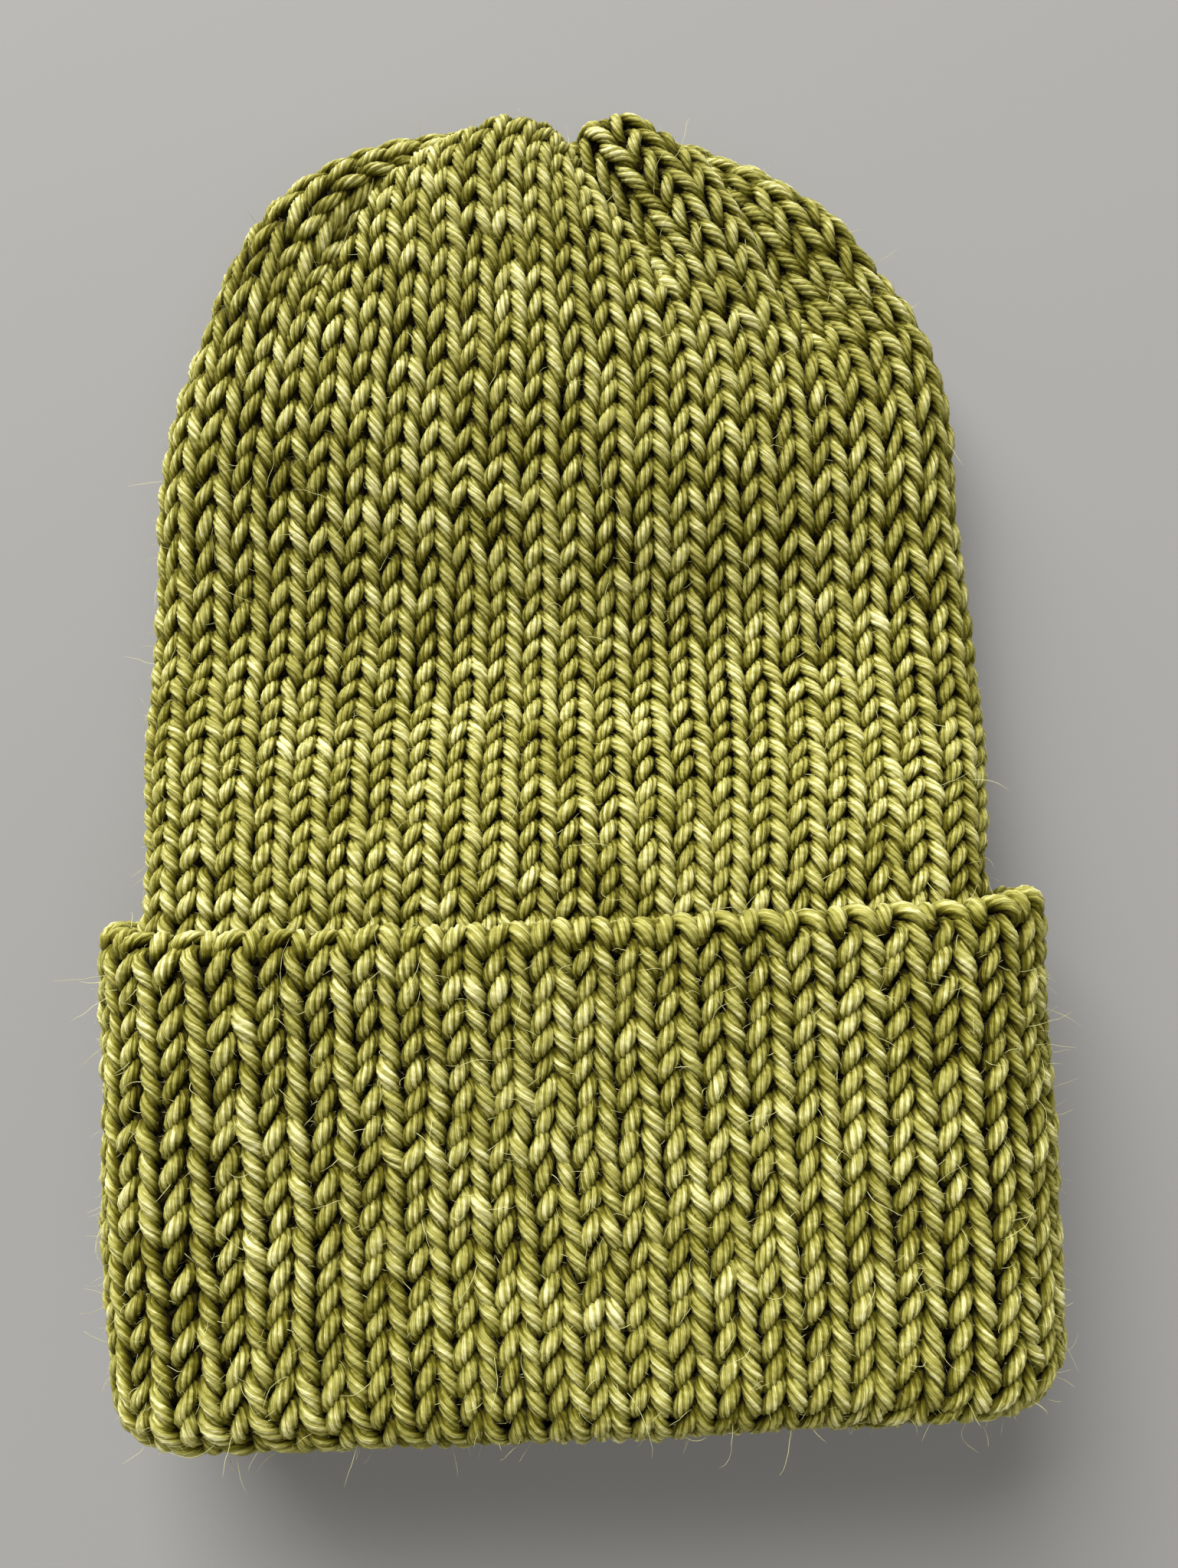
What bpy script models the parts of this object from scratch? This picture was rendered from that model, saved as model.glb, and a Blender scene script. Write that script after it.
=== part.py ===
"""A double-layer knit beanie with a turned-up cuff, lying flat. Metres, +Z up, crown towards +Y.

The hat is one knitted tube drawn shut at both ends, with one end pushed inside the other and the doubled
brim turned up. Every layer is a loop of the same shape round a flat slit, the head space, and each lies
a fabric and a gap further out than the one inside it. The origin is on the ground, below the middle.
"""

import math

import bmesh
import bpy

# Driving sizes, in metres.
FABRIC = 0.0046  # one layer of knitting
GAP = 0.0004  # between layers that lie on each other
SLIT = 0.0070  # height of the head space at its sides
PUFF = 0.0025  # how far the upper layers swell in the middle
BODY_WIDTH = 0.1660  # outer layer, where the cuff holds it
BODY_SWELL = 0.0040  # how far each side of the body swells out above the cuff
CUFF_DEPTH = 0.0910
VISIBLE_LENGTH = 0.1760  # from the cuff's top edge to the crown's end
SWELL_LENGTH = 0.0450  # over which the body swells, and after which it starts to narrow
DROOP_START = 0.0050  # above the cuff, where the body starts to sink to the ground
DROOP_LENGTH = 0.0700
YARN = 0.0038  # diameter of a drawn-shut tail
KNOT_YARN = 0.0030  # the same yarn pulled tight in the knot
KNOT_SIZE = 0.0019  # scale of the knot's loops
KNOT_RISE = 0.0022  # how far its strands pass over and under
DRAWSTRING_WIDTH = 0.0140
DRAWSTRING_HEIGHT = 0.0090
DRAWSTRING_WAVE = 0.0004
EYELET_WIDTH = 0.0100
EYELET_HEIGHT = 0.0052
TURN_LEG = 0.0020  # the cuff's bottom turn, inside the head space

# Shares that give the crown its outline.
CROWN_SHARE = 0.55  # where the crown's zone starts, along the narrowing part
OUTLINE_POWER = 4.0
OUTLINE_ROOT = 0.55
END_POWER = 24.0
PUFF_FALL = 0.64
NECK_SHARE = 0.98  # where the layer starts to close on its eyelet
CROWN_STEPS = (0.66, 0.76, 0.84, 0.90, 0.95, NECK_SHARE, 0.995)
BODY_STEPS = (0.0, 0.18, 0.37, CROWN_SHARE)

# Segments round a layer.
FLAT_SEGMENTS = 12
SIDE_SEGMENTS = 8

# Layers, as distances from the middle of the slit.
LAYER = FABRIC + GAP
LINING_IN = SLIT / 2
LINING_OUT = LINING_IN + FABRIC
SHELL_IN = LINING_IN + LAYER
SHELL_OUT = SHELL_IN + FABRIC
BACKING_IN = SHELL_IN + LAYER
BACKING_OUT = BACKING_IN + FABRIC
FACE_IN = BACKING_IN + LAYER
FACE_OUT = FACE_IN + FABRIC

# Places along the hat.
BOTTOM_Y = -(CUFF_DEPTH + VISIBLE_LENGTH) / 2
EDGE_Y = BOTTOM_Y + CUFF_DEPTH
TOP_Y = EDGE_Y + VISIBLE_LENGTH
NARROW_Y = EDGE_Y + SWELL_LENGTH
TURN_RADIUS = (FACE_OUT - LINING_IN) / 2
TURN_Y = BOTTOM_Y + TURN_RADIUS
ROLL_RADIUS = (FACE_OUT - BACKING_IN) / 2
ROLL_Y = EDGE_Y - ROLL_RADIUS
KNOT_LENGTH = 2 * KNOT_RISE + KNOT_YARN
DRAWSTRING_LENGTH = YARN + 2 * DRAWSTRING_WAVE
HALF_FLAT = BODY_WIDTH / 2 - SHELL_OUT

# Places in the pocket between the two crowns, from the shell's neck back to the lining's end.
NECK_Y = NARROW_Y + NECK_SHARE * (TOP_Y - FABRIC - NARROW_Y)
CROWN_DRAWSTRING_Y = NECK_Y - GAP - DRAWSTRING_LENGTH / 2
KNOT_Y = CROWN_DRAWSTRING_Y - DRAWSTRING_LENGTH / 2 - GAP - KNOT_LENGTH / 2
LINING_DRAWSTRING_Y = KNOT_Y - KNOT_LENGTH / 2 - GAP - DRAWSTRING_LENGTH / 2
LINING_TOP_Y = LINING_DRAWSTRING_Y - DRAWSTRING_LENGTH / 2 - GAP

YARN_COLOUR = (0.37, 0.36, 0.055, 1.0)
YARN_ROUGHNESS = 0.9


def clear_scene():
    for obj in list(bpy.data.objects):
        bpy.data.objects.remove(obj)


def smooth(share):
    """A share from 0 to 1, eased at both ends."""
    share = min(max(share, 0.0), 1.0)
    return share * share * (3 - 2 * share)


def centre_height(y):
    """Height of the slit's middle: level with the cuff's, then down to where the body lies on the ground."""
    sunk = smooth((y - EDGE_Y - DROOP_START) / DROOP_LENGTH)
    return FACE_OUT + (SHELL_OUT - FACE_OUT) * sunk


def puff_at(y):
    """Swell of the upper layers, which dies away at the crown's end."""
    share = max(0.0, (y - NARROW_Y) / (TOP_Y - NARROW_Y))
    return PUFF * (1 - share**2)


def loop(y, half_flat, radius):
    """One closed loop of points round the slit at y: two flats and two round sides."""
    points = []
    for side in (1, -1):
        for step in range(FLAT_SEGMENTS):
            points.append((side * (-1 + 2 * step / FLAT_SEGMENTS), math.pi / 2 * side))
        for step in range(SIDE_SEGMENTS):
            points.append((side, side * (math.pi / 2 - math.pi * step / SIDE_SEGMENTS)))
    centre = centre_height(y)
    corners = []
    for flat, angle in points:
        # The second round side runs on past the half turn.
        lean = math.cos(angle) * (1 if flat > 0 else -1) if abs(flat) == 1 else 0.0
        rise = math.sin(angle)
        swell = puff_at(y) * max(0.0, rise) * (1 - PUFF_FALL * flat**2)
        corners.append((flat * half_flat + radius * lean, y, centre + radius * rise + swell))
    return corners


def surface_loop(share, inset, end_y):
    """A loop of the narrowing part, at a share of the way to end_y, this far inside the shell's outer face."""
    y = NARROW_Y + share * (end_y - NARROW_Y)
    width = BODY_WIDTH / 2 + BODY_SWELL - inset
    half_width = width * max(0.0, 1 - share**OUTLINE_POWER) ** OUTLINE_ROOT
    radius = (SHELL_OUT - inset) * math.sqrt(1 - share**END_POWER)
    return loop(y, half_width - radius, radius)


def straight_loop(y, radius):
    """A loop below the narrowing part, where the body swells out above the cuff."""
    swell = BODY_SWELL * smooth((y - EDGE_Y) / SWELL_LENGTH)
    return loop(y, HALF_FLAT + swell, radius)


def eyelet_loop(y):
    """The small hole that is left where the loops are drawn together."""
    return loop(y, (EYELET_WIDTH - EYELET_HEIGHT) / 2, EYELET_HEIGHT / 2)


def material(name, colour):
    made = bpy.data.materials.new(name)
    made.use_nodes = True
    shader = made.node_tree.nodes["Principled BSDF"]
    shader.inputs["Base Color"].default_value = colour
    shader.inputs["Roughness"].default_value = YARN_ROUGHNESS
    made.diffuse_color = colour
    return made


def closed_band(name, loops):
    """A solid from loops of points, each joined to the next and the last to the first."""
    mesh = bpy.data.meshes.new(name)
    shape = bmesh.new()
    rings = [[shape.verts.new(corner) for corner in corners] for corners in loops]
    for ring, following in zip(rings, rings[1:] + rings[:1]):
        for i in range(len(ring)):
            shape.faces.new((ring[i - 1], ring[i], following[i], following[i - 1]))
    bmesh.ops.recalc_face_normals(shape, faces=shape.faces)
    shape.to_mesh(mesh)
    shape.free()
    mesh.shade_smooth()
    mesh.set_sharp_from_angle(angle=math.radians(50))
    return place(name, mesh)


def place(name, data):
    obj = bpy.data.objects.new(name, data)
    bpy.context.scene.collection.objects.link(obj)
    data.materials.append(material(name, YARN_COLOUR))
    return obj


def tube(name, outer, inner):
    """A length of tube from its outer loops and its inner loops, both from bottom to top."""
    return closed_band(name, outer + inner[::-1])


def body_layer(name, bottom, inner, outer, inset, end_y):
    """A body tube from the bottom up to the crown's zone."""
    steps = (bottom, EDGE_Y + DROOP_START, EDGE_Y + 0.4 * SWELL_LENGTH, EDGE_Y + 0.7 * SWELL_LENGTH)
    outer_loops = [straight_loop(y, outer) for y in steps]
    inner_loops = [straight_loop(y, inner) for y in steps]
    outer_loops += [surface_loop(share, inset, end_y) for share in BODY_STEPS]
    inner_loops += [surface_loop(share, inset + FABRIC, end_y - FABRIC) for share in BODY_STEPS]
    return tube(name, outer_loops, inner_loops)


def crown_layer(name, inset, end_y):
    """The gathered end of a layer, down to its eyelet."""
    start = CROWN_SHARE + GAP / (end_y - NARROW_Y)
    steps = (start,) + CROWN_STEPS
    outer_loops = [surface_loop(share, inset, end_y) for share in steps]
    inner_loops = [surface_loop(share, inset + FABRIC, end_y - FABRIC) for share in steps]
    outer_loops.append(eyelet_loop(end_y))
    inner_loops.append(eyelet_loop(end_y - FABRIC))
    return tube(name, outer_loops, inner_loops)


def arc(centre_radius, centre_y, radius, start, end, steps):
    """Profile points, each a distance from the slit and a place along the hat."""
    points = []
    for step in range(steps + 1):
        angle = math.radians(start + (end - start) * step / steps)
        points.append((centre_radius + radius * math.cos(angle), centre_y + radius * math.sin(angle)))
    return points


def cuff_face():
    """The cuff's outer layer: the bottom turn, the wall and the rolled top edge, as one profile."""
    turn_middle = LINING_IN + TURN_RADIUS
    roll_middle = BACKING_IN + ROLL_RADIUS
    profile = [(LINING_IN, TURN_Y + TURN_LEG)]
    profile += arc(turn_middle, TURN_Y, TURN_RADIUS, 180, 360, 8)
    profile += arc(roll_middle, ROLL_Y, ROLL_RADIUS, 0, 180, 6)
    profile += [(FACE_IN, ROLL_Y)]
    profile += arc(turn_middle, TURN_Y, TURN_RADIUS - FABRIC, 360, 180, 6)
    profile += [(LINING_OUT, TURN_Y + TURN_LEG)]
    return closed_band("cuff_face", [loop(y, HALF_FLAT, radius) for radius, y in profile])


def cuff_backing():
    ends = (TURN_Y, ROLL_Y - GAP)
    outer = [loop(y, HALF_FLAT, BACKING_OUT) for y in ends]
    inner = [loop(y, HALF_FLAT, BACKING_IN) for y in ends]
    return tube("cuff_backing", outer, inner)


def yarn_loop(name, points, diameter):
    """A closed loop of yarn along the points."""
    curve = bpy.data.curves.new(name, "CURVE")
    curve.dimensions = "3D"
    spline = curve.splines.new("POLY")
    spline.points.add(len(points) - 1)
    for point, place_at in zip(spline.points, points):
        point.co = (*place_at, 1.0)
    spline.use_cyclic_u = True
    spline.use_smooth = True
    curve.bevel_depth = diameter / 2
    curve.bevel_resolution = 2
    return place(name, curve)


def drawstring(name, y):
    """A tail run in and out of the last loops and drawn shut."""
    points = []
    steps = 24
    for step in range(steps):
        turn = 2 * math.pi * step / steps
        across = (DRAWSTRING_WIDTH - YARN) / 2 * math.cos(turn)
        up = (DRAWSTRING_HEIGHT - YARN) / 2 * math.sin(turn)
        points.append((across, y + DRAWSTRING_WAVE * math.cos(6 * turn), centre_height(y) + up))
    return yarn_loop(name, points, YARN)


def tie_knot(y):
    """The overhand knot of the two tails."""
    points = []
    steps = 48
    for step in range(steps):
        turn = 2 * math.pi * step / steps
        across = KNOT_SIZE * (math.sin(turn) + 2 * math.sin(2 * turn))
        up = KNOT_SIZE * (math.cos(turn) - 2 * math.cos(2 * turn))
        points.append((across, y - KNOT_RISE * math.sin(3 * turn), centre_height(y) + up))
    return yarn_loop("tie_knot", points, KNOT_YARN)


clear_scene()
body_layer("shell_body", TURN_Y, SHELL_IN, SHELL_OUT, 0.0, TOP_Y)
crown_layer("shell_crown", 0.0, TOP_Y)
body_layer("lining_body", TURN_Y + TURN_LEG + GAP, LINING_IN, LINING_OUT, LAYER, LINING_TOP_Y)
crown_layer("lining_crown", LAYER, LINING_TOP_Y)
cuff_face()
cuff_backing()
drawstring("crown_drawstring", CROWN_DRAWSTRING_Y)
tie_knot(KNOT_Y)
drawstring("lining_drawstring", LINING_DRAWSTRING_Y)
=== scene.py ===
import math

import bpy
import numpy as np
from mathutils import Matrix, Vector


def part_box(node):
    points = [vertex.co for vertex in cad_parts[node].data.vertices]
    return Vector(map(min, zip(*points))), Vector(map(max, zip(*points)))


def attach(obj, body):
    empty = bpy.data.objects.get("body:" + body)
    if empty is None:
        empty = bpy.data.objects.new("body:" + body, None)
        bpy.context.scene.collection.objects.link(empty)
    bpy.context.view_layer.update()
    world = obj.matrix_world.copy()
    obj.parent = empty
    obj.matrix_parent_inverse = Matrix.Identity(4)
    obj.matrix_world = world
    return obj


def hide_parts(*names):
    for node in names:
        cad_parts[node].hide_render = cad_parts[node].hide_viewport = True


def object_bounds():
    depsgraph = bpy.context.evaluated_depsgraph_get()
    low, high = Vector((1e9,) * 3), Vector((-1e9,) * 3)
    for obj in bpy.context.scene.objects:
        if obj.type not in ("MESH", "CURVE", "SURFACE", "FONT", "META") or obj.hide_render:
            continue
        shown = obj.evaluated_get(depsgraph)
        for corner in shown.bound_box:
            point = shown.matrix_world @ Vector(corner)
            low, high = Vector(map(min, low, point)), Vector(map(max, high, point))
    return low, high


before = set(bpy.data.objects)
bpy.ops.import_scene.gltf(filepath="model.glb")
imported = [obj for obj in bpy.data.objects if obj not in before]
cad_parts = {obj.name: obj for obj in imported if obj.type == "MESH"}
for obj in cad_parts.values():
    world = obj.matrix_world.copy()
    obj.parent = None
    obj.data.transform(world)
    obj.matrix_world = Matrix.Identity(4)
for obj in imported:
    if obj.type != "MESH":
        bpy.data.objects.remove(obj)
cad_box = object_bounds()

# ---------------------------------------------------------------------------------------------------------
# Camera. It looks almost straight down on the hat from above the cuff's top edge, tipped a little towards
# the crown, and stands slightly to the right of the hat's middle.
cuff_low, cuff_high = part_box("cuff_face")
edge_y = cuff_high.y
hat_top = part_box("shell_crown")[1].y
camera_right = 0.0057
camera_past_edge = 0.001
camera_height = 0.255
camera_tip = math.radians(6.5)
camera_data = bpy.data.cameras.new("camera")
camera_data.sensor_width = 36.0
camera_data.lens = 26.4
camera_data.clip_start = 0.01
camera = bpy.data.objects.new("camera", camera_data)
camera.location = (camera_right, edge_y + camera_past_edge, camera_height)
camera.rotation_euler = (camera_tip, 0.0, 0.0)
bpy.context.scene.collection.objects.link(camera)
bpy.context.scene.camera = camera
bpy.context.scene.view_settings.view_transform = "Standard"


# ---------------------------------------------------------------------------------------------------------
# Floor. A plain pale surface that the hat lies on, much larger than the hat.
class Wire:
    """A socket in a shader's node tree. Arithmetic on wires adds Math nodes."""

    def __init__(self, tree, socket=None):
        self.tree = tree
        self.socket = socket

    def add(self, kind, settings, inputs, output=0):
        """Adds a node: its settings first, then the values or wires of its sockets."""
        made = self.tree.nodes.new(kind)
        for name, value in settings.items():
            if name == "stops":
                ramp = made.color_ramp.elements
                while len(ramp) < len(value):
                    ramp.new(0.5)
                for stop, (position, colour) in zip(ramp, value):
                    stop.position = position
                    stop.color = (*colour, 1.0)
            else:
                setattr(made, name, value)
        for name, value in inputs.items():
            if isinstance(value, Wire):
                self.tree.links.new(value.socket, made.inputs[name])
            else:
                made.inputs[name].default_value = value
        return Wire(self.tree, made.outputs[output])

    def axis(self, letter):
        """One of the three numbers of a vector."""
        return self.add("ShaderNodeSeparateXYZ", {}, {"Vector": self}, letter)

    def feed(self, socket):
        self.tree.links.new(self.socket, socket)

    def maths(self, operation, *values):
        return self.add("ShaderNodeMath", {"operation": operation}, dict(enumerate(values)))

    def __add__(self, other):
        return self.maths("ADD", self, other)

    __radd__ = __add__

    def __sub__(self, other):
        return self.maths("SUBTRACT", self, other)

    def __rsub__(self, other):
        return self.maths("SUBTRACT", other, self)

    def __mul__(self, other):
        return self.maths("MULTIPLY", self, other)

    __rmul__ = __mul__


def finish_of(name):
    """A new material, with a wire to start its nodes from and its shader's sockets."""
    material = bpy.data.materials.new(name)
    material.use_nodes = True
    tree = material.node_tree
    return material, Wire(tree), tree.nodes["Principled BSDF"].inputs


floor_finish, wire, shader = finish_of("pale_floor")
cloud = wire.add("ShaderNodeTexNoise", {}, {"Scale": 3.0, "Detail": 3.0})
floor_colours = [(0.3, (0.335, 0.33, 0.32)), (0.7, (0.36, 0.355, 0.345))]
floor_tone = wire.add("ShaderNodeValToRGB", {"stops": floor_colours}, {"Fac": cloud})
floor_tone.feed(shader["Base Color"])
shader["Roughness"].default_value = 0.85
floor_size = 16.0
floor_mesh = bpy.data.meshes.new("floor")
half = floor_size / 2
corners = [(-half, -half, 0), (half, -half, 0), (half, half, 0), (-half, half, 0)]
floor_mesh.from_pydata(corners, [], [(0, 1, 2, 3)])
floor_mesh.materials.append(floor_finish)
floor = bpy.data.objects.new("floor", floor_mesh)
bpy.context.scene.collection.objects.link(floor)


# ---------------------------------------------------------------------------------------------------------
# Light. One large soft window beyond the crown, a weak fill, and pale surroundings.
def soft_light(name, place, size, power):
    """A square panel of light that faces the hat."""
    data = bpy.data.lights.new(name, "AREA")
    data.size = size
    data.energy = power
    panel = bpy.data.objects.new(name, data)
    panel.location = place
    panel.rotation_mode = "QUATERNION"
    panel.rotation_quaternion = (-Vector(place)).to_track_quat("-Z", "Y")
    bpy.context.scene.collection.objects.link(panel)


soft_light("window", place=(-1.10, 2.60, 1.80), size=2.60, power=203.0)
soft_light("fill", place=(0.5, -1.2, 2.4), size=2.0, power=14.0)
world = bpy.data.worlds.new("surroundings")
world.use_nodes = True
sky = world.node_tree.nodes["Background"].inputs
sky["Color"].default_value = (1.0, 0.965, 0.92, 1.0)
sky["Strength"].default_value = 0.28
bpy.context.scene.world = world

# ---------------------------------------------------------------------------------------------------------
# Shell. The outer layer of the body and crown: 48 wales of plain knitting in thick plied wool, worked as one
# tube. Every course is a real loop of six-ply yarn that hangs in the one below it, and the last courses
# fold into deep pleats where the tail draws them shut.
WALES = 48
HALF_WALES = WALES // 2
FABRIC = 0.0046
LAYER_PITCH = 0.0050
HEAD_SLIT = 0.0035


def layer_middle(layer):
    """Distance of a layer's middle from the head's slit. The lining is layer 0 and the cuff's face is 3."""
    return HEAD_SLIT + layer * LAYER_PITCH + FABRIC / 2


SHELL_MID = layer_middle(1)
SHELL_OUT = SHELL_MID + FABRIC / 2
FACE_OUT = layer_middle(3) + FABRIC / 2
PUFF = cuff_high.z - 2 * FACE_OUT
half_flat = cuff_high.x - FACE_OUT


def smooth(share):
    share = np.clip(share, 0.0, 1.0)
    return share * share * (3 - 2 * share)


FALL_START = edge_y + 0.005
FALL_LENGTH = 0.070


def centre_height(y):
    """Height of the slit's middle, from the cuff's level down to where the body lies on the ground."""
    return FACE_OUT + (SHELL_OUT - FACE_OUT) * smooth((y - FALL_START) / FALL_LENGTH)


NARROW_FROM = 0.045
narrow_y = edge_y + NARROW_FROM
DIP = 0.0086
DIP_Y = edge_y + 0.053
DIP_REACH = 0.029


def puff_at(y):
    """Swell of the upper layers' middle. It sags a little between the cuff and the crown's pleats."""
    sag = DIP * np.exp(-(((y - DIP_Y) / DIP_REACH) ** 2))
    return PUFF * (1 - np.maximum(0.0, (y - narrow_y) / (hat_top - narrow_y)) ** 2) - sag


SIDE_FLATNESS = 0.64


def ring(wale, flat, radius, y):
    """Points and outward normals of a flattened loop. Wale 0 is the top's middle and +12 the right side."""
    length = (4 * flat + 2 * math.pi * radius) / WALES
    along = np.abs(wale) * length
    side = np.where(wale < 0, -1.0, 1.0)
    angle = np.clip((along - flat) / radius, 0.0, math.pi)
    under = np.maximum(0.0, along - flat - math.pi * radius)
    across = np.minimum(along, flat) - under
    x = side * (across + radius * np.sin(angle))
    rise = np.cos(angle)
    swell = puff_at(y) * np.maximum(0.0, rise) * (1 - SIDE_FLATNESS * (across / flat) ** 2)
    z = centre_height(y) + radius * rise + swell
    normal = np.stack([side * np.sin(angle), np.zeros_like(x), rise], -1)
    return np.stack([x, y + np.zeros_like(x), z], -1), normal


PER_WALE = 6
PER_COURSE = 6
wale_grid = np.arange(WALES * PER_WALE) / PER_WALE - HALF_WALES


class Surface:
    """A layer's middle surface, as a grid: courses along the first axis and wales round the second."""

    def __init__(self, points):
        self.points = points
        along = np.gradient(points, axis=0)
        round_way = np.roll(points, -1, 1) - np.roll(points, 1, 1)
        normals = np.cross(round_way, along)
        self.normals = normals / np.maximum(np.linalg.norm(normals, axis=-1, keepdims=True), 1e-12)

    def at(self, wale, course):
        """Points and normals at these wales and courses, between the grid's own."""
        row = np.clip(course * PER_COURSE, 0, self.points.shape[0] - 1.001)
        column = (wale + HALF_WALES) * PER_WALE
        low_row = np.floor(row).astype(int)
        low_column = np.floor(column).astype(int)
        row_share = (row - low_row)[..., None]
        column_share = (column - low_column)[..., None]
        count = self.points.shape[1]
        left, right = low_column % count, (low_column + 1) % count
        found = []
        for grid in (self.points, self.normals):
            low = grid[low_row, left] * (1 - column_share) + grid[low_row, right] * column_share
            high = grid[low_row + 1, left] * (1 - column_share) + grid[low_row + 1, right] * column_share
            found.append(low * (1 - row_share) + high * row_share)
        return found


def by_course(grid, distances, even_from=0.0):
    """Resamples a grid of stations so that courses lie at these distances along the middle wale.

    Past even_from, every wale has its courses at even shares of its own length.
    """
    steps = np.linalg.norm(np.diff(grid, axis=0), axis=-1)
    lengths = np.vstack([np.zeros(grid.shape[1]), np.cumsum(steps, axis=0)])
    middle = lengths[:, grid.shape[1] // 2]
    courses = np.arange((len(distances) - 1) * PER_COURSE + 1) / PER_COURSE
    fine = np.interp(courses, np.arange(len(distances)), distances)
    stations = np.arange(grid.shape[0])
    places = np.interp(fine, middle, stations)
    made = np.empty((len(fine), grid.shape[1], 3))
    first = np.interp(even_from, middle, stations)
    for column in range(grid.shape[1]):
        length = lengths[:, column]
        begin = np.interp(first, stations, length)
        share = np.clip((fine - even_from) / max(middle[-1] - even_from, 1e-9), 0.0, 1.0)
        wanted = begin + share * (length[-1] - begin)
        own = np.where(fine <= even_from, places, np.interp(wanted, length, stations))
        for axis in range(3):
            made[:, column, axis] = np.interp(own, stations, grid[:, column, axis])
    return Surface(made)


WAVES = 7
WAVE_RATE = 70.0


def wander(points, normals, size, seed):
    """Lets a hand-knitted surface rise, sink and lean a little, in slow waves."""
    chance = np.random.default_rng(seed)
    lift = np.zeros(points.shape[:-1])
    lean = np.zeros(points.shape[:-1])
    for _ in range(WAVES):
        wave = chance.normal(size=3) * WAVE_RATE
        phase = chance.uniform(0, 2 * math.pi, 2)
        lift += np.sin(points @ wave + phase[0])
        lean += np.sin(points @ wave[[1, 0, 2]] + phase[1])
    points = points + normals * (lift * size / 3)[..., None]
    points[..., 0] += lean * size / 4
    return points


# The pleats' valleys: the wale each one is folded along, where it lies round the crown from the start of the
# pleats to the gather, how deep it is, and the shares of the crown where it starts and is full.
VALLEYS = (
    (-7.4, (-7.4, -7.4, -7.6, -8.0, -8.4, -8.8), 0.0065, 0.56, 0.84),
    (3.4, (3.4, 3.4, 3.3, 2.5, 1.1, 0.4), 0.0105, 0.62, 0.86),
    (7.6, (7.6, 7.5, 6.9, 7.2, 8.2, 9.8), 0.0085, 0.50, 0.78),
    (15.2, (15.2, 15.2, 15.2, 15.4, 15.6, 15.6), 0.0055, 0.50, 0.85),
    (20.0, (20.0, 20.0, 20.0, 20.0, 20.0, 20.0), 0.0060, 0.55, 0.85),
    (-22.0, (-22.0, -22.0, -22.0, -22.0, -22.0, -22.0), 0.0060, 0.55, 0.85),
    (-18.0, (-18.0, -18.0, -18.0, -18.0, -18.0, -18.0), 0.0060, 0.55, 0.85),
    (-13.6, (-13.6, -13.6, -13.8, -14.0, -14.2, -14.4), 0.0045, 0.60, 0.88),
)
VALLEY_SHARES = (0.42, 0.60, 0.74, 0.84, 0.92, 1.0)
LOBE_BULGE = 0.0026
BULGE_FROM = 0.60
BULGE_OVER = 0.34
CREST_WALE = 0.0066
ARCH_STEPS = 40


def pleats(share, flat, radius):
    """At this share of the crown, where each wale lies round the smooth loop and how far it sinks."""
    length = (4 * flat + 2 * math.pi * radius) / WALES
    folded = np.array([valley[0] for valley in VALLEYS])
    lies = np.array([np.interp(share, VALLEY_SHARES, valley[1]) for valley in VALLEYS])
    starts = [smooth((share - valley[3]) / (valley[4] - valley[3])) for valley in VALLEYS]
    deep = np.array([valley[2] * start for valley, start in zip(VALLEYS, starts)])
    bulge = LOBE_BULGE * smooth((share - BULGE_FROM) / BULGE_OVER)
    places = np.empty_like(wale_grid)
    sink = np.empty_like(wale_grid)
    for i in range(len(VALLEYS)):
        after = (i + 1) % len(VALLEYS)
        start, end = folded[i], folded[after]
        low, high = lies[i], lies[after]
        end += WALES if end < start else 0.0
        high += WALES if high < low else 0.0
        inside = (wale_grid - start) % WALES < end - start
        across = ((wale_grid[inside] - start) % WALES) / (end - start) * 2 - 1
        angle = np.linspace(0, math.pi / 2, ARCH_STEPS)
        reach = (high - low) / 2 * length
        bent = np.empty_like(across)
        for sign, depth in ((-1, deep[i]), (1, deep[after])):
            own = across * sign >= 0
            arch_x = reach * np.sin(angle)
            arch_z = depth * (1 - np.cos(angle))
            arch = np.hstack([0.0, np.cumsum(np.hypot(np.diff(arch_x), np.diff(arch_z)))])
            crowd = max(1.0, CREST_WALE * (end - start) / 2 / arch[-1])
            wanted = arch[-1] * (1 - (1 - np.abs(across[own])) ** crowd)
            bent[own] = sign * np.interp(wanted, arch, angle)
            crest = 1 - (2 * bent[own] / math.pi) ** 2
            sink[np.flatnonzero(inside)[own]] = depth * (1 - np.cos(bent[own])) - bulge * crest
        places[inside] = (low + high) / 2 + (high - low) / 2 * np.sin(bent)
    return (places + HALF_WALES) % WALES - HALF_WALES, sink


BODY_STATIONS = 60
CROWN_STATIONS = 130
CROWN_CROWDING = 1.6
CROWN_END = 0.998
BODY_SWELL = 0.004
SWELL_LENGTH = 0.045
EDGE_POWER = 24
SIDE_POWER = 4
SIDE_ROUNDNESS = 0.55
GATHER_SINK = 0.0065
GATHER_FROM = 0.965
GATHER_OVER = 0.033
CROWN_LEAN = 0.0085
LEAN_FROM = 0.45
LEAN_OVER = 0.5
LEAN_FROM_X = 0.012
LEAN_OVER_X = 0.055


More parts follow.
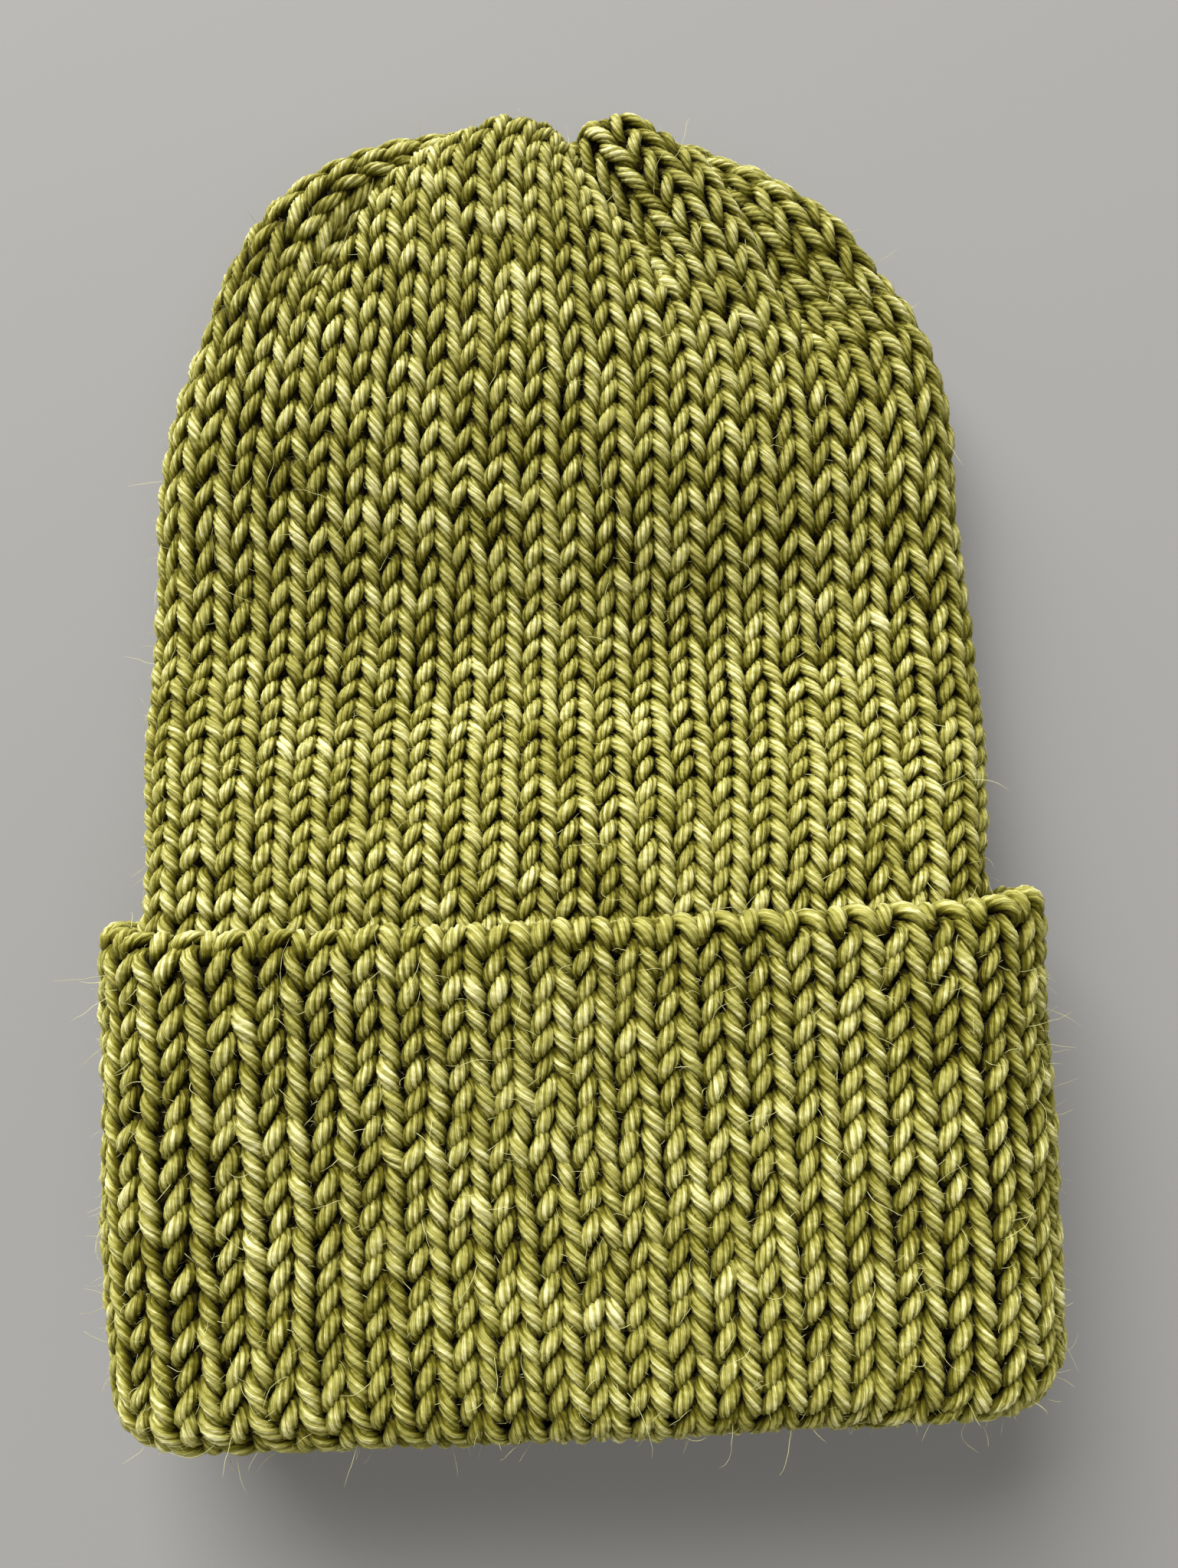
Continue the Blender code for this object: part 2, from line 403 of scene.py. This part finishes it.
def body_grid(middle, inset, bottom, end_y, depth_share):
    """Stations of a body layer from its bottom edge to its gather."""
    rows, normals, sinks = [], [], []
    for y in np.linspace(bottom, narrow_y, BODY_STATIONS, endpoint=False):
        swell = BODY_SWELL * smooth((y - edge_y) / SWELL_LENGTH)
        points, normal = ring(wale_grid, half_flat + swell, middle, y)
        rows.append(points)
        normals.append(normal)
        sinks.append(np.zeros_like(wale_grid))
    width = half_flat + SHELL_OUT + BODY_SWELL - inset
    top = end_y - FABRIC / 2
    for step in np.linspace(0, 1, CROWN_STATIONS):
        share = CROWN_END * (1 - (1 - step) ** CROWN_CROWDING)
        y = narrow_y + share * (top - narrow_y)
        radius = middle * math.sqrt(1 - share**EDGE_POWER)
        flat = width * (1 - share**SIDE_POWER) ** SIDE_ROUNDNESS - radius
        places, sink = pleats(share, flat, radius)
        points, normal = ring(places, flat, radius, y)
        rows.append(points)
        normals.append(normal)
        gather = GATHER_SINK * smooth((share - GATHER_FROM) / GATHER_OVER)
        sinks.append((sink + gather) * depth_share)
    rows, normals, sinks = np.array(rows), np.array(normals), np.array(sinks)
    # The right side of the crown was gathered a little lower than the left.
    late = smooth(((rows[..., 1] - narrow_y) / (hat_top - narrow_y) - LEAN_FROM) / LEAN_OVER)
    rows[..., 1] -= CROWN_LEAN * late * smooth((rows[..., 0] - LEAN_FROM_X) / LEAN_OVER_X)
    along = np.gradient(rows, axis=0)
    round_way = np.stack([normals[..., 2], np.zeros_like(sinks), -normals[..., 0]], -1)
    outward = np.cross(round_way, along)
    outward /= np.linalg.norm(outward, axis=-1, keepdims=True)
    return rows - outward * sinks[..., None], outward


def course_places(length, first_pitch, last_pitch, bend_from, bend_to):
    """Distances of the courses along the middle wale, with the pitch growing from the first to the last."""
    places = [0.0]
    while places[-1] < length:
        share = float(smooth((places[-1] - bend_from) / (bend_to - bend_from)))
        places.append(places[-1] + first_pitch + (last_pitch - first_pitch) * share)
    scale = length / places[-1]
    return np.array(places) * scale


def middle_length(grid):
    column = grid[:, grid.shape[1] // 2]
    return np.linalg.norm(np.diff(column, axis=0), axis=-1).sum()


# How much one stitch differs from the next: shares of its size, parts of a wale or course, and its rise.
UNEVEN_HEIGHT = 0.08
UNEVEN_WIDTH = 0.12
UNEVEN_DEPTH = 0.14
UNEVEN_WALE = 0.045
UNEVEN_COURSE = 0.06
UNEVEN_RISE = 0.00020
LEG_DWELL = 0.18


def yarn_path(surface, course, samples, chance, build):
    """Centre line of one course of loops, with the surface normal at each point."""
    turn = np.arange(WALES * samples) / samples * 2 * math.pi
    turn = turn + LEG_DWELL * np.sin(2 * turn)
    stitch = turn / (2 * math.pi)

    def vary(amount):
        drawn = chance.normal(size=WALES) * amount
        return np.interp(stitch, np.arange(WALES + 1) + 0.5, np.append(drawn, drawn[0]), period=WALES)

    tall = build["tall"] * (1 + vary(UNEVEN_HEIGHT))
    slim = build["slim"] * (1 + vary(UNEVEN_WIDTH))
    up = tall * np.cos(turn)
    wale = stitch + slim * np.sin(2 * turn) + build["lean"] * up + vary(UNEVEN_WALE)
    depth = -build["proud"] * (1 + vary(UNEVEN_DEPTH)) * np.cos(2 * turn)
    points, normals = surface.at(wale - HALF_WALES, course + 0.5 + up + vary(UNEVEN_COURSE))
    points = points + normals * (depth + vary(UNEVEN_RISE))[:, None]
    points[:, 2] = np.maximum(points[:, 2], build["radius"])
    return points, normals, turn, depth


# Six plies twisted together: three corners across each ply, the last one down in the groove.
LOBES = 6
LOBE_ANGLES = np.radians([-13.0, 13.0, 30.0])
LOBE_RADII = np.array([1.0, 1.0, 0.78])
TWIST_LEAD = 0.0130
PLAIN_REACH = 0.93
PRESSED_FLAT = 0.92


def yarn(points, normals, radius, columns, twist):
    """Rings of a plied yarn round a centre line, and where each vertex is on it."""
    tangent = np.gradient(points, axis=0)
    tangent /= np.linalg.norm(tangent, axis=-1, keepdims=True)
    outward = normals - tangent * (normals * tangent).sum(-1, keepdims=True)
    outward /= np.linalg.norm(outward, axis=-1, keepdims=True)
    sideways = np.cross(tangent, outward)
    if columns == "plied":
        angles = (np.arange(LOBES)[:, None] * 2 * math.pi / LOBES + LOBE_ANGLES).ravel()
        reach = np.tile(LOBE_RADII, LOBES)
    else:
        angles = np.arange(columns) * 2 * math.pi / columns
        reach = np.full(columns, PLAIN_REACH)
    turned = angles[None, :] + twist[:, None]
    span = radius[:, None] * reach[None, :]
    ring_x = (span * np.cos(turned))[..., None] * sideways[:, None, :]
    ring_z = (span * np.sin(turned) * PRESSED_FLAT)[..., None] * outward[:, None, :]
    made = points[:, None, :] + ring_x + ring_z
    flat_x = np.cos(angles)[None, :] * span
    flat_y = np.sin(angles)[None, :] * span
    groove = np.broadcast_to(reach, span.shape)
    return made, flat_x, flat_y, groove, span * np.sin(turned)


def mesh_piece(name, points, faces, material):
    """Makes an object. faces is a list of arrays, each with one row of point numbers for every face."""
    points = np.concatenate(points)
    loops = np.concatenate([part.ravel() for part in faces]).astype(np.int32)
    sizes = np.concatenate([np.full(len(part), part.shape[-1]) for part in faces]).astype(np.int32)
    starts = np.concatenate([[0], np.cumsum(sizes)[:-1]]).astype(np.int32)
    mesh = bpy.data.meshes.new(name)
    mesh.vertices.add(len(points))
    mesh.vertices.foreach_set("co", points.astype(np.float32).ravel())
    mesh.loops.add(len(loops))
    mesh.loops.foreach_set("vertex_index", loops)
    mesh.polygons.add(len(sizes))
    mesh.polygons.foreach_set("loop_start", starts)
    mesh.polygons.foreach_set("loop_total", sizes)
    mesh.update()
    mesh.shade_smooth()
    mesh.materials.append(material)
    made = bpy.data.objects.new(name, mesh)
    bpy.context.scene.collection.objects.link(made)
    return made


class Knitting:
    """Collects the meshes of some courses into one piece."""

    def __init__(self):
        self.points, self.quads, self.caps = [], [], []
        self.strand, self.place, self.maps = [], [], []
        self.count = 0
        self.roots = []

    def tube(self, rings, strand, place, share, turns):
        """Adds a length of yarn with closed ends. share and turns give its place in the texture map."""
        length, columns = rings.shape[:2]
        index = np.arange(length * columns).reshape(length, columns) + self.count
        right = np.roll(index, -1, 1)
        quads = np.stack([index[:-1], right[:-1], right[1:], index[1:]], -1).reshape(-1, 4)
        across = (np.arange(columns + 1) / columns)[None, :] * np.ones((length, 1))
        along = share[:, None] * np.ones((1, columns + 1))
        low = turns[0] + (turns[1] - turns[0]) * across
        flat = np.stack([along, low], -1)
        corners = np.stack([flat[:-1, :-1], flat[:-1, 1:], flat[1:, 1:], flat[1:, :-1]], 2)
        self.quads.append(quads)
        self.maps.append(corners.reshape(-1, 2))
        self.caps += [index[:1, ::-1], index[-1:]]
        self.points.append(rings.reshape(-1, 3))
        self.strand.append(strand.reshape(-1, 3))
        self.place.append(place.reshape(-1, 3))
        self.count += length * columns

    def piece(self, name, material):
        """Makes the object, with the attributes that its material reads."""
        made = mesh_piece(name, self.points, self.quads + self.caps, material)
        for title, rows in (("strand", self.strand), ("place", self.place)):
            attribute = made.data.attributes.new(title, "FLOAT_VECTOR", "POINT")
            attribute.data.foreach_set("vector", np.concatenate(rows).astype(np.float32).ravel())
        flat = np.zeros((len(made.data.loops), 2), np.float32)
        maps = np.concatenate(self.maps)
        flat[: len(maps)] = maps
        made.data.uv_layers.new(name="OFBake").data.foreach_set("uv", flat.ravel())
        return made


LEG_PLACES = (0, 0.12, 0.25, 0.38, 0.5, 0.62, 0.75, 0.88, 1.0)
FINE_WALES = 16.2
UNDER_COLUMNS = 10
INNER_COLUMNS = 8
UNEVEN_YARN = 0.06
SEED_STEP = 0.31
MAP_SPLIT = (0.66, 0.67)


def knit_course(piece, surface, course, build, turns, seed):
    """Adds one course: fine plied yarn over the top and both sides, plainer yarn underneath."""
    chance = np.random.default_rng(seed)
    samples = build["samples"]
    points, normals, turn, depth = yarn_path(surface, course, samples, chance, build)
    stitch = turn / (2 * math.pi)
    legs = np.interp(stitch % 1.0, LEG_PLACES, build["legs"])
    drawn = chance.normal(size=WALES * 2)
    thick = 1 + UNEVEN_YARN * np.interp(stitch * 2, np.arange(WALES * 2) + 0.5, drawn, period=WALES * 2)
    radius = build["radius"] * legs * thick
    step = np.linalg.norm(np.diff(points, axis=0, append=points[:1]), axis=-1)
    along = np.concatenate([[0.0], np.cumsum(step)[:-1]])
    twist = along / TWIST_LEAD * 2 * math.pi + chance.uniform(0, 2 * math.pi)
    tint = np.interp(stitch, np.arange(WALES), chance.uniform(0, 1, WALES), period=WALES)
    front = np.abs(stitch - HALF_WALES) <= FINE_WALES
    if build["fine"]:
        parts = [("plied", front), (UNDER_COLUMNS, ~front)]
    else:
        parts = [(INNER_COLUMNS, np.ones_like(front))]
    for number, (columns, chosen) in enumerate(parts):
        where = np.flatnonzero(chosen)
        if not chosen.all() and columns != "plied":
            # The part underneath runs on through the course's own start, so its two ends are joined there.
            gap = np.flatnonzero(np.diff(where) > 1)[0]
            where = np.concatenate([where[gap + 1 :], where[: gap + 1]])
            where = np.concatenate([[where[0] - 1], where, [where[-1] + 1]])
        elif chosen.all():
            where = np.concatenate([where, [0]])
        tube = yarn(points[where], normals[where], radius[where], columns, twist[where])
        rings, flat_x, flat_y, groove, rise = tube
        shape = rings.shape[:2]
        run = np.broadcast_to(along[where][:, None], shape) + SEED_STEP * seed
        strand = np.stack([flat_x, flat_y, run], -1)
        # place holds how far each point stands out of the groove between plies and how high it stands in the
        # loop, which the material turns into painted shade and painted light, and a random tint for each
        # stitch.
        out_of_groove = (groove - LOBE_RADII[2]) / (1 - LOBE_RADII[2])
        painted_light_height = (depth[where][:, None] + rise) / (abs(build["proud"]) + build["radius"])
        place = np.stack([out_of_groove, painted_light_height, np.broadcast_to(tint[where][:, None], shape)], -1)
        begin, end = (0.0, MAP_SPLIT[0]) if number == 0 else (MAP_SPLIT[1], 1.0)
        share = np.linspace(begin, end, len(where))
        piece.tube(rings, strand, place, share, turns)
        if columns == "plied":
            piece.roots.append((rings, np.broadcast_to(points[where][:, None, :], rings.shape)))


def yarn_finish(name, shade):
    """Plied wool: fine fibres along each strand, with painted shade between strands and in the depth of the
    loops, and painted light on the loops' crests.
    """
    material, wire, shader = finish_of(name)
    strand = wire.add("ShaderNodeAttribute", {"attribute_name": "strand"}, {}, "Vector")
    place = wire.add("ShaderNodeAttribute", {"attribute_name": "place"}, {}, "Vector")
    groove, front, chance = (place.axis(letter) for letter in "XYZ")
    drawn = wire.add("ShaderNodeVectorMath", {"operation": "MULTIPLY"}, {0: strand, 1: (1.0, 1.0, 0.09)})
    fine_grain = {"Vector": drawn, "Scale": 3400.0, "Detail": 3.0, "Roughness": 0.65}
    fibre = wire.add("ShaderNodeTexNoise", {}, fine_grain)
    marl = wire.add("ShaderNodeTexNoise", {}, {"Vector": drawn, "Scale": 620.0, "Detail": 2.0})
    cloud = wire.add("ShaderNodeTexNoise", {}, {"Scale": 26.0, "Detail": 2.0})
    # The height in the loop paints shade on the loops' sides and depths and light on their crests, and the
    # groove term paints shade between the plies; the other terms are random tints and fibre marks.
    span = {"Value": front, "From Min": -0.20, "From Max": 1.05}
    painted_light_height = wire.add("ShaderNodeMapRange", {"interpolation_type": "SMOOTHSTEP"}, span)
    tone = 0.76 * painted_light_height + 0.10 * groove + 0.10 * chance + 0.60 * (fibre - 0.5) + 0.24 * (marl - 0.5)
    tone = tone + 0.22 * (cloud - 0.5)
    stops = list(zip((0.0, 0.38, 0.66, 0.86, 1.0), shade))
    colour = wire.add("ShaderNodeValToRGB", {"stops": stops}, {"Fac": tone})
    colour.feed(shader["Base Color"])
    bump = wire.add("ShaderNodeBump", {}, {"Strength": 0.55, "Distance": 0.00035, "Height": fibre})
    bump.feed(shader["Normal"])
    shader["Roughness"].default_value = 0.78
    shader["Specular IOR Level"].default_value = 0.10
    shader["Sheen Weight"].default_value = 0.09
    shader["Sheen Roughness"].default_value = 0.45
    shader["Sheen Tint"].default_value = (0.85, 0.86, 0.42, 1.0)
    return material


hair_finish, wire, shader = finish_of("loose_wool_hair")
shader["Base Color"].default_value = (0.80, 0.79, 0.36, 1.0)
shader["Roughness"].default_value = 0.7
# For each kind of hair: how many, the shortest and longest, how thick, and in how many straight lengths.
HAIRS = (
    (650, 0.0040, 0.0110, 0.000060, 8),
    (2500, 0.0012, 0.0040, 0.000034, 4),
    (5400, 0.0006, 0.0016, 0.000030, 2),
)
HAIR_STANDS = 0.008
HAIR_LEAN = (0.2, 0.9)
HAIR_STRAY = 0.5
HAIR_CURL = 0.9
HAIR_TURN = 0.9
HAIR_KINK = 0.12
HAIR_TAPER = 0.75
HAIR_SIDES = 3
HAIR_ROOT = 0.0002


def loose_hairs(name, roots, seed):
    """Fine wool hairs that stand out of the yarn, as one piece."""
    chance = np.random.default_rng(seed)
    outer = np.concatenate([rings.reshape(-1, 3) for rings, _ in roots])
    inner = np.concatenate([middle.reshape(-1, 3) for _, middle in roots])
    points, faces = [], []
    total = 0
    for count, short, long, thick, joints in HAIRS:
        picked = chance.integers(0, len(outer), count)
        away = outer[picked] - inner[picked]
        away /= np.linalg.norm(away, axis=-1, keepdims=True)
        outward = away * chance.uniform(*HAIR_LEAN, (count, 1))
        heading = outward + chance.normal(size=(count, 3)) * HAIR_STRAY
        heading /= np.linalg.norm(heading, axis=-1, keepdims=True)
        length = short + (long - short) * chance.uniform(0, 1, (count, 1)) ** 2
        bend = chance.normal(size=(count, 3)) * HAIR_CURL
        line = [outer[picked] - away * HAIR_ROOT]
        for _ in range(joints):
            kink = chance.normal(size=(count, 3)) * HAIR_KINK
            heading = heading + np.cross(bend, heading) * HAIR_TURN / joints + kink
            heading /= np.linalg.norm(heading, axis=-1, keepdims=True)
            line.append(line[-1] + heading * length / joints)
        line = np.stack(line, 1)
        line[..., 2] = np.clip(line[..., 2], thick, cad_box[1][2] + HAIR_STANDS)
        tangent = np.gradient(line, axis=1)
        tangent /= np.linalg.norm(tangent, axis=-1, keepdims=True)
        helper = chance.normal(size=(count, 1, 3))
        first = np.cross(tangent, helper)
        first /= np.linalg.norm(first, axis=-1, keepdims=True)
        second = np.cross(tangent, first)
        taper = (thick * (1 - HAIR_TAPER * np.linspace(0, 1, joints + 1) ** 2))[None, :, None, None]
        turned = np.arange(HAIR_SIDES) * 2 * math.pi / HAIR_SIDES
        star = first[:, :, None] * np.cos(turned)[:, None] + second[:, :, None] * np.sin(turned)[:, None]
        shape = line[:, :, None] + star * taper
        index = np.arange(count * (joints + 1) * HAIR_SIDES).reshape(count, joints + 1, HAIR_SIDES) + total
        right = np.roll(index, -1, 2)
        quads = np.stack([index[:, :-1], right[:, :-1], right[:, 1:], index[:, 1:]], -1).reshape(-1, 4)
        points.append(shape.reshape(-1, 3))
        faces += [quads, index[:, 0, ::-1], index[:, -1]]
        total += index.size
    return mesh_piece(name, points, faces, hair_finish)


# Wool colours from dark to light. The darkest stops are painted shade for the grooves and the depths of the
# loops, and the brightest a painted highlight for the loops' crests.
OLIVE = (
    (0.004, 0.002, 0.0001),
    (0.032, 0.0235, 0.0003),
    (0.142, 0.127, 0.0070),
    (0.48, 0.45, 0.112),
    (1.0, 0.96, 0.52),
)
body_yarn = yarn_finish("olive_body_yarn", OLIVE)
# One stitch of the body: points round its loop, its height in courses, its half width and lean in wales, how
# far its legs stand proud, its yarn's radius, and how the yarn swells from the loop's head round both legs.
BODY_BUILD = {
    "samples": 26,
    "tall": 0.97,
    "slim": 0.245,
    "lean": 0.045,
    "proud": 0.00125,
    "radius": 0.00164,
    "legs": (0.70, 0.74, 0.90, 0.76, 0.70, 0.78, 1.02, 0.80, 0.70),
    "fine": True,
}
MAP_ROW = 0.96


def knit_groups(surface, builds, per_piece, seed):
    """Knits a course of each build, in groups. Gives a group's first course, its title and its knitting."""
    for first in range(0, len(builds), per_piece):
        last = min(first + per_piece, len(builds))
        group = Knitting()
        for course in range(first, last):
            turns = ((course - first) / (last - first), (course - first + MAP_ROW) / (last - first))
            knit_course(group, surface, course, builds[course], turns, seed + course)
        yield first, f"courses_{first + 1:02d}_to_{last:02d}", group


SHELL_WANDER = 0.0008
SHELL_PITCHES = (0.00455, 0.0059)
EVEN_FROM = 0.52
CROWN_FROM = 0.62
COURSES_PER_PIECE = 4
shell_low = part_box("shell_body")[0].y
cuff_overlap = edge_y - shell_low
pitch_bend = (cuff_overlap + 0.02, cuff_overlap + 0.12)
grid, outward = body_grid(SHELL_MID, FABRIC / 2, shell_low, hat_top, 1.0)
grid = wander(grid, outward, SHELL_WANDER, 5)
shell_length = middle_length(grid)
distances = course_places(shell_length, *SHELL_PITCHES, *pitch_bend)
shell_surface = by_course(grid, distances, shell_length * EVEN_FROM)
shell_builds = [BODY_BUILD] * (len(distances) - 1)
body_roots = []
for first, title, group in knit_groups(shell_surface, shell_builds, COURSES_PER_PIECE, 100):
    in_crown = distances[first] > shell_length * CROWN_FROM
    zone, node = ("crown", "shell_crown") if in_crown else ("shell", "shell_body")
    made = group.piece(f"{zone}_{title}", body_yarn)
    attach(made, "hat")
    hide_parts(node)
    body_roots += group.roots
middle_course = len(shell_builds) // 2
for zone, seed, roots in (("low", 71, body_roots[:middle_course]), ("high", 73, body_roots[middle_course:])):
    hair = loose_hairs(f"body_wool_hair_{zone}", roots, seed)
    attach(hair, "hat")

# ---------------------------------------------------------------------------------------------------------
# Cuff. The doubled brim turned up over the body: one layer that comes out of the head space, turns at the
# bottom, runs up as the face and rolls over the top edge. It is held only by its own stretch.
LINING_MID = layer_middle(0)
BACKING_MID = layer_middle(2)
BACKING_IN = BACKING_MID - FABRIC / 2
FACE_MID = layer_middle(3)
TURN_LEG = 0.0020
TURN_STEPS = 40
WALL_STEPS = 60
ROLL_STEPS = 24
turn_radius = (FACE_OUT - HEAD_SLIT) / 2
turn_y = cuff_low.y + turn_radius
roll_radius = (FACE_OUT - BACKING_IN) / 2
roll_y = edge_y - roll_radius


def cuff_profile():
    """Distance from the slit and place along the hat, from the inner leg round to the rolled edge."""
    turn_middle, turn_arc = HEAD_SLIT + turn_radius, turn_radius - FABRIC / 2
    roll_middle, roll_arc = BACKING_IN + roll_radius, roll_radius - FABRIC / 2
    profile = [(LINING_MID, turn_y + TURN_LEG)]
    for angle in np.radians(np.linspace(180, 360, TURN_STEPS)):
        profile.append((turn_middle + turn_arc * math.cos(angle), turn_y + turn_arc * math.sin(angle)))
    for y in np.linspace(turn_y, roll_y, WALL_STEPS)[1:-1]:
        profile.append((FACE_MID, y))
    for angle in np.radians(np.linspace(0, 180, ROLL_STEPS)):
        profile.append((roll_middle + roll_arc * math.cos(angle), roll_y + roll_arc * math.sin(angle)))
    return profile


CUFF_TURN = math.radians(2.4)
CUFF_TAPER = 0.44
CUFF_SHIFT = 0.0021
CORNER_RISE = 0.0030
CORNER_FROM = 0.78
CORNER_DEPTH = 0.05
CUFF_STRETCH = 0.45
CUFF_WANDER = 0.0007


def turn_cuff(points):
    """Turns and shifts the cuff a little, as it was folded by hand, and narrows it towards its fold."""
    x, y = points[..., 0].copy(), points[..., 1] - edge_y
    x = x * (1 + CUFF_TAPER * np.minimum(0.0, y))
    near_side = smooth((np.abs(x) / cuff_high.x - CORNER_FROM) / (1 - CORNER_FROM))
    y = y + CORNER_RISE * near_side * smooth(1 + y / CORNER_DEPTH)
    points[..., 0] = x * math.cos(CUFF_TURN) - y * math.sin(CUFF_TURN) + CUFF_SHIFT
    points[..., 1] = edge_y + x * math.sin(CUFF_TURN) + y * math.cos(CUFF_TURN)
    return points


def cuff_grid(profile):
    """Stations of a cuff layer. The wales lie closer at its sides than across its flats."""
    rows, normals = [], []
    for radius, y in profile:
        stretched = wale_grid - CUFF_STRETCH * np.sin(wale_grid / WALES * 4 * math.pi)
        points, normal = ring(stretched, half_flat, radius, y)
        rows.append(points)
        normals.append(normal)
    rows = wander(np.array(rows), np.array(normals), CUFF_WANDER, 9)
    return turn_cuff(rows)


cuff_yarn = yarn_finish("olive_cuff_yarn", OLIVE)
CUFF_LEGS = (0.70, 0.76, 0.93, 0.78, 0.70, 0.78, 1.00, 0.80, 0.70)
CUFF_BUILD = dict(BODY_BUILD, tall=1.0, slim=0.24, radius=0.00168, legs=CUFF_LEGS)
EDGE_BUILD = dict(CUFF_BUILD, tall=0.78, slim=0.25, proud=0.00190, radius=0.00195)
CUFF_PITCH = 0.00458
ROLL_COURSES = 2
grid = cuff_grid(cuff_profile())
roll_length = math.pi * (roll_radius - FABRIC / 2)
wall_length = middle_length(grid) - roll_length
wall_courses = round(wall_length / CUFF_PITCH)
wall_places = np.linspace(0, wall_length, wall_courses + 1)
roll_places = wall_length + roll_length * np.arange(1, ROLL_COURSES + 1) / ROLL_COURSES
cuff_surface = by_course(grid, np.concatenate([wall_places, roll_places]))
cuff_builds = [CUFF_BUILD] * wall_courses + [EDGE_BUILD] + [CUFF_BUILD] * (ROLL_COURSES - 1)
cuff_roots = []
for first, title, group in knit_groups(cuff_surface, cuff_builds, COURSES_PER_PIECE, 300):
    made = group.piece(f"cuff_{title}", cuff_yarn)
    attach(made, "cuff")
    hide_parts("cuff_face")
    cuff_roots += group.roots
# The rolled edge lies against the body, so no hairs grow on it.
middle_course = len(cuff_builds) // 2
low_roots, high_roots = cuff_roots[:middle_course], cuff_roots[middle_course:wall_courses]
for zone, seed, roots in (("low", 72, low_roots), ("high", 74, high_roots)):
    hair = loose_hairs(f"cuff_wool_hair_{zone}", roots, seed)
    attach(hair, "cuff")

# The cuff's second layer, down inside it, where the tube doubles back. It is seen only as the cuff is moved.
INNER_BUILD = dict(BODY_BUILD, samples=12, tall=1.0, proud=-0.0011, radius=0.00158, fine=False)
INNER_COURSES_PER_PIECE = 12
BACKING_STATIONS = 60
backing_low, backing_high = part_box("cuff_backing")
grid = cuff_grid([(BACKING_MID, y) for y in np.linspace(backing_low.y, backing_high.y, BACKING_STATIONS)])
backing_builds = [INNER_BUILD] * round(middle_length(grid) / CUFF_PITCH)
backing_surface = by_course(grid, np.linspace(0, middle_length(grid), len(backing_builds) + 1))
for first, title, group in knit_groups(backing_surface, backing_builds, INNER_COURSES_PER_PIECE, 500):
    made = group.piece(f"backing_{title}", cuff_yarn)
    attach(made, "cuff")
    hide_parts("cuff_backing")

# ---------------------------------------------------------------------------------------------------------
# Lining. The inner half of the same tube, pushed up inside the shell as far as the tied tails. Its knit side
# faces the head, and its end is drawn shut like the shell's.
LINING_PITCHES = (0.0046, 0.0056)
LINING_PLEATS = 0.75
lining_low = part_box("lining_body")[0].y
lining_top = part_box("lining_crown")[1].y
lining_inset = SHELL_MID - LINING_MID + FABRIC / 2
grid, outward = body_grid(LINING_MID, lining_inset, lining_low, lining_top, LINING_PLEATS)
lining_length = middle_length(grid)
distances = course_places(lining_length, *LINING_PITCHES, *pitch_bend)
lining_surface = by_course(grid, distances, lining_length * EVEN_FROM)
lining_builds = [INNER_BUILD] * (len(distances) - 1)
for first, title, group in knit_groups(lining_surface, lining_builds, INNER_COURSES_PER_PIECE, 700):
    in_crown = distances[first] > lining_length * CROWN_FROM
    zone, node = ("lining_crown", "lining_crown") if in_crown else ("lining", "lining_body")
    made = group.piece(f"{zone}_{title}", body_yarn)
    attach(made, "hat")
    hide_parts(node)

# ---------------------------------------------------------------------------------------------------------
# Tails. Each end of the tube is drawn shut by the yarn's own tail, run through the last loops, and the two
# tails are tied between the crowns so that the lining cannot pull out.
STRING_STEPS = 160
STRING_RADIUS = 0.0019
STRING_WAVES = 6
KNOT_RADIUS = 0.0015
KNOT_SIZE = 0.0019
KNOT_RISE = 0.0022


def tail(name, points, radius, seed):
    """One closed length of plied yarn along these points."""
    points = np.vstack([points, points[:1]])
    step = np.linalg.norm(np.diff(points, axis=0), axis=-1)
    along = np.concatenate([[0.0], np.cumsum(step)])
    twist = along / along[-1] * round(along[-1] / TWIST_LEAD + 1) * 2 * math.pi
    radii = np.full(len(points), radius)
    rings, flat_x, flat_y, groove, rise = yarn(points, points - points.mean(0), radii, "plied", twist)
    shape = rings.shape[:2]
    strand = np.stack([flat_x, flat_y, np.broadcast_to(along[:, None], shape) + SEED_STEP * seed], -1)
    tint = np.full(shape, np.random.default_rng(seed).uniform(0.3, 0.7))
    out_of_groove = (groove - LOBE_RADII[2]) / (1 - LOBE_RADII[2])
    # As in the courses: painted shade in the grooves between plies, and painted light on the top of the yarn
    # with painted shade under it.
    place = np.stack([out_of_groove, 0.5 + 0.4 * rise / radius, tint], -1)
    piece = Knitting()
    piece.tube(rings, strand, place, along / along[-1], (0.0, 1.0))
    made = piece.piece(name + "_yarn", body_yarn)
    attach(made, "hat")
    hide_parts(name)


turns_round = np.arange(STRING_STEPS) / STRING_STEPS * 2 * math.pi
for name, seed in (("crown_drawstring", 81), ("lining_drawstring", 82)):
    low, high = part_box(name)
    middle = (low + high) / 2
    reach = (high - low) / 2 - Vector((STRING_RADIUS, STRING_RADIUS, STRING_RADIUS))
    x = middle.x + reach.x * np.cos(turns_round)
    y = middle.y + reach.y * np.cos(STRING_WAVES * turns_round)
    z = middle.z + reach.z * np.sin(turns_round)
    tail(name, np.stack([x, y, z], -1), STRING_RADIUS, seed)
low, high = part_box("tie_knot")
knot_y = (low.y + high.y) / 2
x = KNOT_SIZE * (np.sin(turns_round) + 2 * np.sin(2 * turns_round))
y = knot_y - KNOT_RISE * np.sin(3 * turns_round)
z = centre_height(knot_y) + KNOT_SIZE * (np.cos(turns_round) - 2 * np.cos(2 * turns_round))
tail("tie_knot", np.stack([x, y, z], -1), KNOT_RADIUS, 83)
